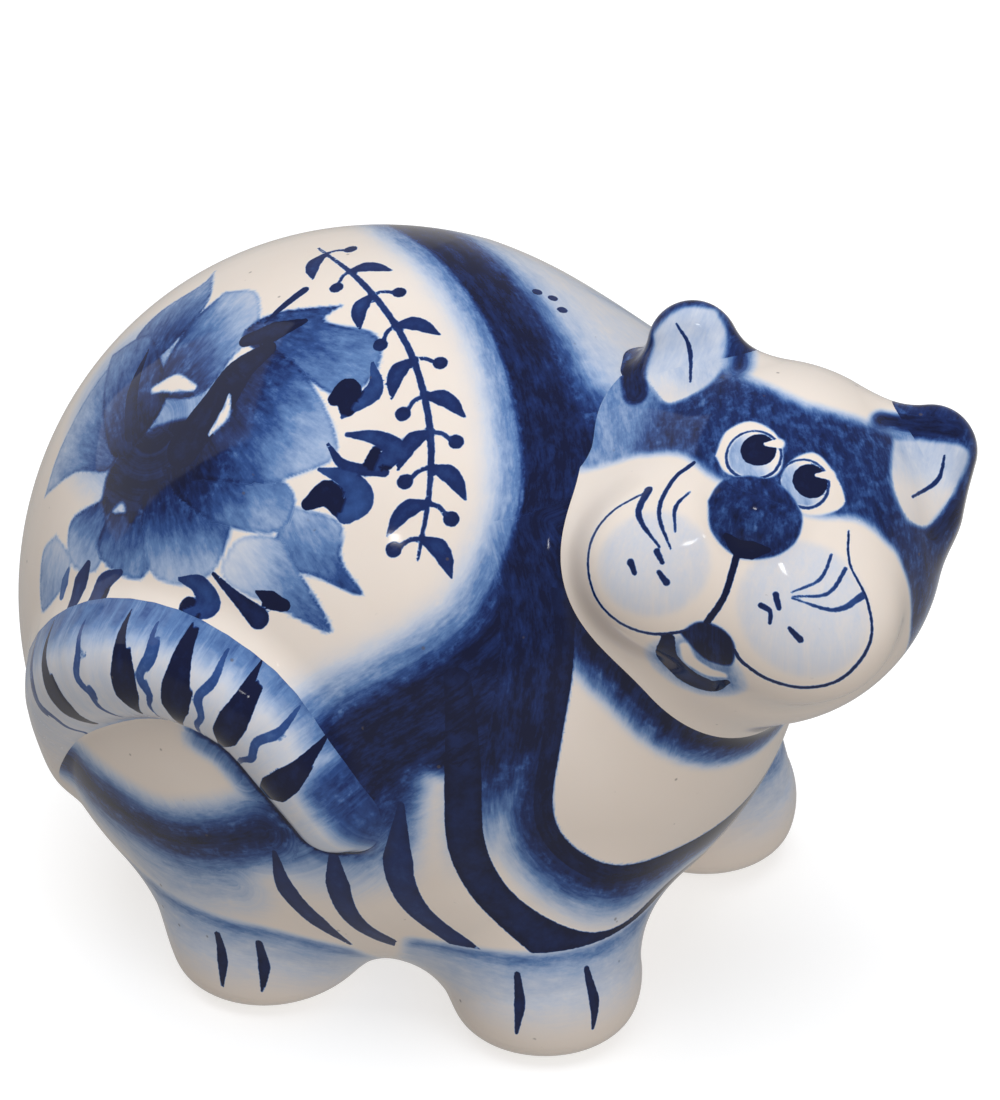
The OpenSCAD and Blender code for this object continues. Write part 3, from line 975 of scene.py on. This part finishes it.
def painted_porcelain(name):
    """Cream clay, cobalt in washes and strokes, and a clear glaze that stops at the soles."""
    n = Nodes(name)
    place = n.add("TexCoord").outputs["Object"]
    grain = n.attribute("grain", "Vector")
    bristles = n.noise(grain, 2.6, 4.0, 0.65)
    broad = n.noise(grain, 0.7, 2.0)
    mottle = n.noise(place, 420.0, 4.0, 0.7)

    # Wash: streaked along the brush and mottled where it is heavy.
    wash = n.attribute("wash")
    depth = n.math("MULTIPLY", wash, n.span(wash, 0.0, 1.0, 1.0, 0.5))
    streak = n.math("MULTIPLY_ADD", n.math("SUBTRACT", bristles, 0.5), 0.9, n.math("SUBTRACT", broad, 0.5))
    streak = n.math("MULTIPLY_ADD", n.math("SUBTRACT", mottle, 0.5), 0.7, streak)
    sponge = n.span(n.noise(place, 700.0, 3.0, 0.6), 0.45, 0.7, 0.0, 0.16)
    heavy = n.math("MULTIPLY", n.span(wash, 0.66, 0.8), n.span(wash, 0.94, 0.86))
    wash = n.math("MULTIPLY_ADD", streak, depth, wash, clamp=True)
    wash = n.math("SUBTRACT", wash, n.math("MULTIPLY", sponge, heavy), clamp=True)

    # Strokes: a wavering edge a fraction of a millimetre wide.
    wander = n.math("SUBTRACT", n.noise(place, 1800.0, 3.0), 0.5)
    waver = n.math("MULTIPLY_ADD", wander, 0.22, n.attribute("edge"))
    inside = n.span(waver, 0.1, -0.1)
    pool = n.span(n.attribute("edge"), -1.4, 0.0, 0.0, 0.06)
    tone = n.math("MULTIPLY_ADD", n.math("SUBTRACT", mottle, 0.5), 0.28, n.attribute("tone"))
    stroke = n.math("MULTIPLY", inside, n.math("ADD", tone, pool))
    density = n.math("MAXIMUM", wash, stroke)

    ramp = n.add("ValToRGB")
    ramp.color_ramp.interpolation = "LINEAR"
    stops = ramp.color_ramp.elements
    while len(stops) < len(PIGMENT):
        stops.new(0.5)
    for stop, (at, colour) in zip(stops, PIGMENT):
        stop.position, stop.color = at, colour
    n.fill(ramp, {"Fac": density})

    # Clay: faint warm clouds and fine dark specks.
    clouds = n.span(n.noise(place, 60.0, 3.0), 0.3, 0.7, 0.0, 0.35)
    colour = n.blend(clouds, ramp.outputs["Color"], (0.93, 0.90, 0.87, 1.0), "MULTIPLY")
    cells = n.add("TexVoronoi", feature="F1")
    n.fill(cells, {"Vector": place, "Scale": 420.0})
    rare = n.span(n.noise(place, 330.0, 2.0), 0.6, 0.66)
    speck = n.math("MULTIPLY", n.span(cells.outputs["Distance"], 0.13, 0.06), rare)
    colour = n.blend(n.math("MULTIPLY", speck, 0.55), colour, (0.10, 0.08, 0.07, 1.0))

    # Bare clay where there is no glaze.
    glaze = n.attribute("glaze")
    bare = n.blend(n.noise(place, 900.0, 4.0), linear(216, 203, 184), linear(232, 221, 204))
    ripple = n.noise(place, 140.0, 2.0)
    gloss = n.span(ripple, 0.3, 0.7, 0.05, 0.085)
    dull = n.math("MULTIPLY_ADD", n.math("SUBTRACT", 1.0, glaze), 0.6, gloss)
    n.bump(n.math("MULTIPLY_ADD", density, 0.12, n.math("MULTIPLY", ripple, 0.5)), 0.0002, 0.35)
    n.fill(n.shader, {"Base Color": n.blend(glaze, bare, colour), "Roughness": dull, "IOR": 1.45,
                      "Subsurface Weight": 0.08, "Subsurface Radius": (0.0025, 0.002, 0.0015),
                      "Subsurface Scale": 1.0})
    return n.material


def fired_slip():
    """The bare joint inside the neck."""
    n = Nodes("fired_slip")
    place = n.add("TexCoord").outputs["Object"]
    grit = n.noise(place, 1400.0, 6.0, 0.7)
    clay = n.blend(grit, linear(205, 190, 168), linear(235, 225, 208))
    n.fill(n.shader, {"Base Color": clay, "Roughness": 0.75})
    n.bump(grit, 0.0003)
    return n.material


# ---- Pieces

WALL = 3.5
THIN_WALLS = {"tail": 2.0, "ear_right": 1.4, "ear_left": 1.4}
# The bare sole ends at this height, and the glaze is whole a little above it.
SOLE_Z, GLAZE_Z = 0.5, 1.3
# These pieces are small or carry the finest strokes, so their faces are split once more.
FINE = ("head", "ear_right", "ear_left", "tail")

# These castings' CAD nodes are named after their shells.
SHELLS = ("body", "head")


def shell(points, normals, quads, wall):
    """Closes an open skin into a wall of even thickness. Returns points, faces and corner normals."""
    n = len(points)
    inner = points - normals * wall
    ends = sides(quads)
    _, first, count = np.unique(np.sort(ends, axis=1), axis=0, return_index=True, return_counts=True)
    a, b = ends[first[count == 1]].T
    rim = np.stack([b, a, a + n, b + n], axis=-1)
    faces = np.concatenate([quads, quads[:, ::-1] + n, rim])
    every = np.concatenate([points, inner])
    corner = np.concatenate([normals, -normals])[faces.reshape(-1)].reshape(-1, 4, 3)
    flat = np.cross(every[rim[:, 2]] - every[rim[:, 0]], every[rim[:, 3]] - every[rim[:, 1]])
    corner[len(quads) * 2:] = (flat / np.maximum(length(flat), 1e-9)[:, None])[:, None, :]
    return every, faces, corner.reshape(-1, 3)


def make_piece(name, points, normals, quads, canvas, material):
    every, faces, corner = shell(points, normals, quads, THIN_WALLS.get(name, WALL))
    title = name + "_painted"
    node = name + "_shell" if name in SHELLS else name
    mesh = bpy.data.meshes.new(title)
    mesh.vertices.add(len(every))
    mesh.vertices.foreach_set("co", ((every + TO_ORIGIN) * MM).astype(np.float32).ravel())
    mesh.loops.add(faces.size)
    mesh.loops.foreach_set("vertex_index", faces.astype(np.int32).ravel())
    mesh.polygons.add(len(faces))
    mesh.polygons.foreach_set("loop_start", np.arange(len(faces), dtype=np.int32) * 4)
    mesh.update(calc_edges=True)
    mesh.validate()
    mesh.polygons.foreach_set("use_smooth", np.ones(len(faces), bool))
    mesh.normals_split_custom_set(corner.astype(np.float32))
    blank = np.zeros(len(points))
    glaze = smooth_step(SOLE_Z, GLAZE_Z, points[:, 2])
    layers = {"wash": (canvas.wash, blank), "edge": (canvas.edge, blank + FAR_EDGE),
              "tone": (canvas.tone, blank), "glaze": (glaze, blank)}
    for key, parts in layers.items():
        values = np.concatenate(parts).astype(np.float32)
        mesh.attributes.new(key, "FLOAT", "POINT").data.foreach_set("value", values)
    flat = np.concatenate([canvas.grain, canvas.grain])
    vectors = np.concatenate([flat, np.zeros((len(flat), 1))], axis=1).astype(np.float32)
    mesh.attributes.new("grain", "FLOAT_VECTOR", "POINT").data.foreach_set("vector", vectors.ravel())
    mesh.materials.append(material)
    piece = bpy.data.objects.new(title, mesh)
    bpy.context.scene.collection.objects.link(piece)
    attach(piece, "root")
    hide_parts(node)


def build_cat():
    points, quads = rough_surface()
    points, _ = settle(points)
    points, quads = split_quads(points, quads)
    points, _ = settle(points)
    quads = face_forward(points, quads)
    points, owner = slide_to_borders(points, quads)
    center = points[quads].mean(axis=1)
    vent = (np.hypot(center[:, 0], center[:, 1]) < VENT_RADIUS) & (center[:, 2] < BELLY_Z + 4)
    for number, name in enumerate(PIECES):
        p, q = take(points, quads[(owner == number) & ~vent])
        if name in FINE:
            p, q = split_quads(p, q)
        p, normals = settle(p)
        canvas = Canvas(p)
        owned = np.full(len(p), number)
        if name in ("head", "ear_right", "ear_left"):
            paint_face(canvas, owned)
        else:
            paint_body(canvas, owned)
        make_piece(name, p, normals, q, canvas, painted_porcelain(name + "_painted"))


build_cat()
slip = fired_slip()
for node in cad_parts.values():
    if not node.hide_render:
        node.data.materials.clear()
        node.data.materials.append(slip)

# ---- Floor, lights and camera

CAMERA_TURN, CAMERA_LIFT = 64.0, 30.0
CAMERA_DISTANCE = 0.7
# Width of the view at that distance, and its middle to the right of and above the body's middle.
VIEW_WIDTH = 0.125
AIM_RIGHT, AIM_UP = 0.0109, 0.0070
LIGHTS_AIM = Vector((0.0, 0.0, 0.045))
FLOOR_HALF = 4.0
FLOOR_GLOW = 0.58
HORIZON_LIGHT, ZENITH_LIGHT = 0.42, 0.25


def add_camera():
    back = Vector(direction(CAMERA_TURN, CAMERA_LIFT))
    right = Vector((0, 0, 1)).cross(back).normalized()
    up = back.cross(right)
    aim = Vector((BODY_CENTER + TO_ORIGIN) * MM) + right * AIM_RIGHT + up * AIM_UP
    data = bpy.data.cameras.new("camera")
    data.sensor_fit = "HORIZONTAL"
    data.sensor_width = 36.0
    data.lens = data.sensor_width * CAMERA_DISTANCE / VIEW_WIDTH
    camera = bpy.data.objects.new("camera", data)
    facing = Matrix((right, up, back)).transposed().to_4x4()
    camera.matrix_world = Matrix.Translation(aim + back * CAMERA_DISTANCE) @ facing
    bpy.context.scene.collection.objects.link(camera)
    bpy.context.scene.camera = camera


def add_light(name, turn_degrees, lift_degrees, distance, size, power, mirrored=True, tint=(1.0, 1.0, 1.0)):
    """A soft box that faces the cat. One that is not mirrored lights the cat without a reflection."""
    back = Vector(direction(turn_degrees, lift_degrees))
    data = bpy.data.lights.new(name, "AREA")
    data.shape = "RECTANGLE"
    data.size, data.size_y = size
    data.energy = power
    data.color = tint
    light = bpy.data.objects.new(name, data)
    light.location = LIGHTS_AIM + back * distance
    light.rotation_euler = back.to_track_quat("Z", "Y").to_euler()
    light.visible_glossy = mirrored
    bpy.context.scene.collection.objects.link(light)


def add_floor():
    """A plain pale table, unseen by the light that bounces off the cat, whose underside stays dim."""
    mesh = bpy.data.meshes.new("floor")
    corners = [(x * FLOOR_HALF, y * FLOOR_HALF, 0) for x, y in ((-1, -1), (1, -1), (1, 1), (-1, 1))]
    mesh.from_pydata(corners, [], [(0, 1, 2, 3)])
    floor = bpy.data.objects.new("floor", mesh)
    bpy.context.scene.collection.objects.link(floor)
    n = Nodes("floor_white")
    place = n.add("TexCoord").outputs["Object"]
    cloudy = n.blend(n.noise(place, 8.0), (0.60, 0.60, 0.60, 1), (0.64, 0.64, 0.64, 1))
    n.fill(n.shader, {"Base Color": cloudy, "Roughness": 0.9, "Specular IOR Level": 0.0,
                      "Emission Color": (1.0, 1.0, 1.0, 1.0), "Emission Strength": FLOOR_GLOW})
    mesh.materials.append(n.material)
    floor.visible_diffuse = False
    floor.visible_glossy = False


def set_world():
    """A white studio, a little brighter round the horizon than overhead."""
    world = bpy.data.worlds.new("studio")
    world.use_nodes = True
    tree = world.node_tree
    height = tree.nodes.new("ShaderNodeSeparateXYZ")
    tree.links.new(tree.nodes.new("ShaderNodeTexCoord").outputs["Generated"], height.inputs[0])
    fade = tree.nodes.new("ShaderNodeMapRange")
    fade.interpolation_type = "SMOOTHSTEP"
    for socket, value in zip(fade.inputs[1:5], (0.0, 0.3, HORIZON_LIGHT, ZENITH_LIGHT)):
        socket.default_value = value
    tree.links.new(height.outputs["Z"], fade.inputs["Value"])
    tree.links.new(fade.outputs[0], tree.nodes["Background"].inputs["Strength"])
    tree.nodes["Background"].inputs["Color"].default_value = (1.0, 0.97, 0.94, 1.0)
    bpy.context.scene.world = world


add_camera()
add_floor()
set_world()
add_light("overhead_box", 70, 86, 1.2, (1.2, 1.2), 12.5, mirrored=False, tint=(0.96, 1.0, 1.05))
add_light("front_box", 40, 22, 1.0, (0.8, 0.8), 3.2, mirrored=False)
add_light("left_box", 178, 30, 0.9, (0.7, 0.8), 0.9)
add_light("sparkle", 72, 46, 1.0, (0.05, 0.05), 0.1)
bpy.context.scene.view_settings.view_transform = "Standard"
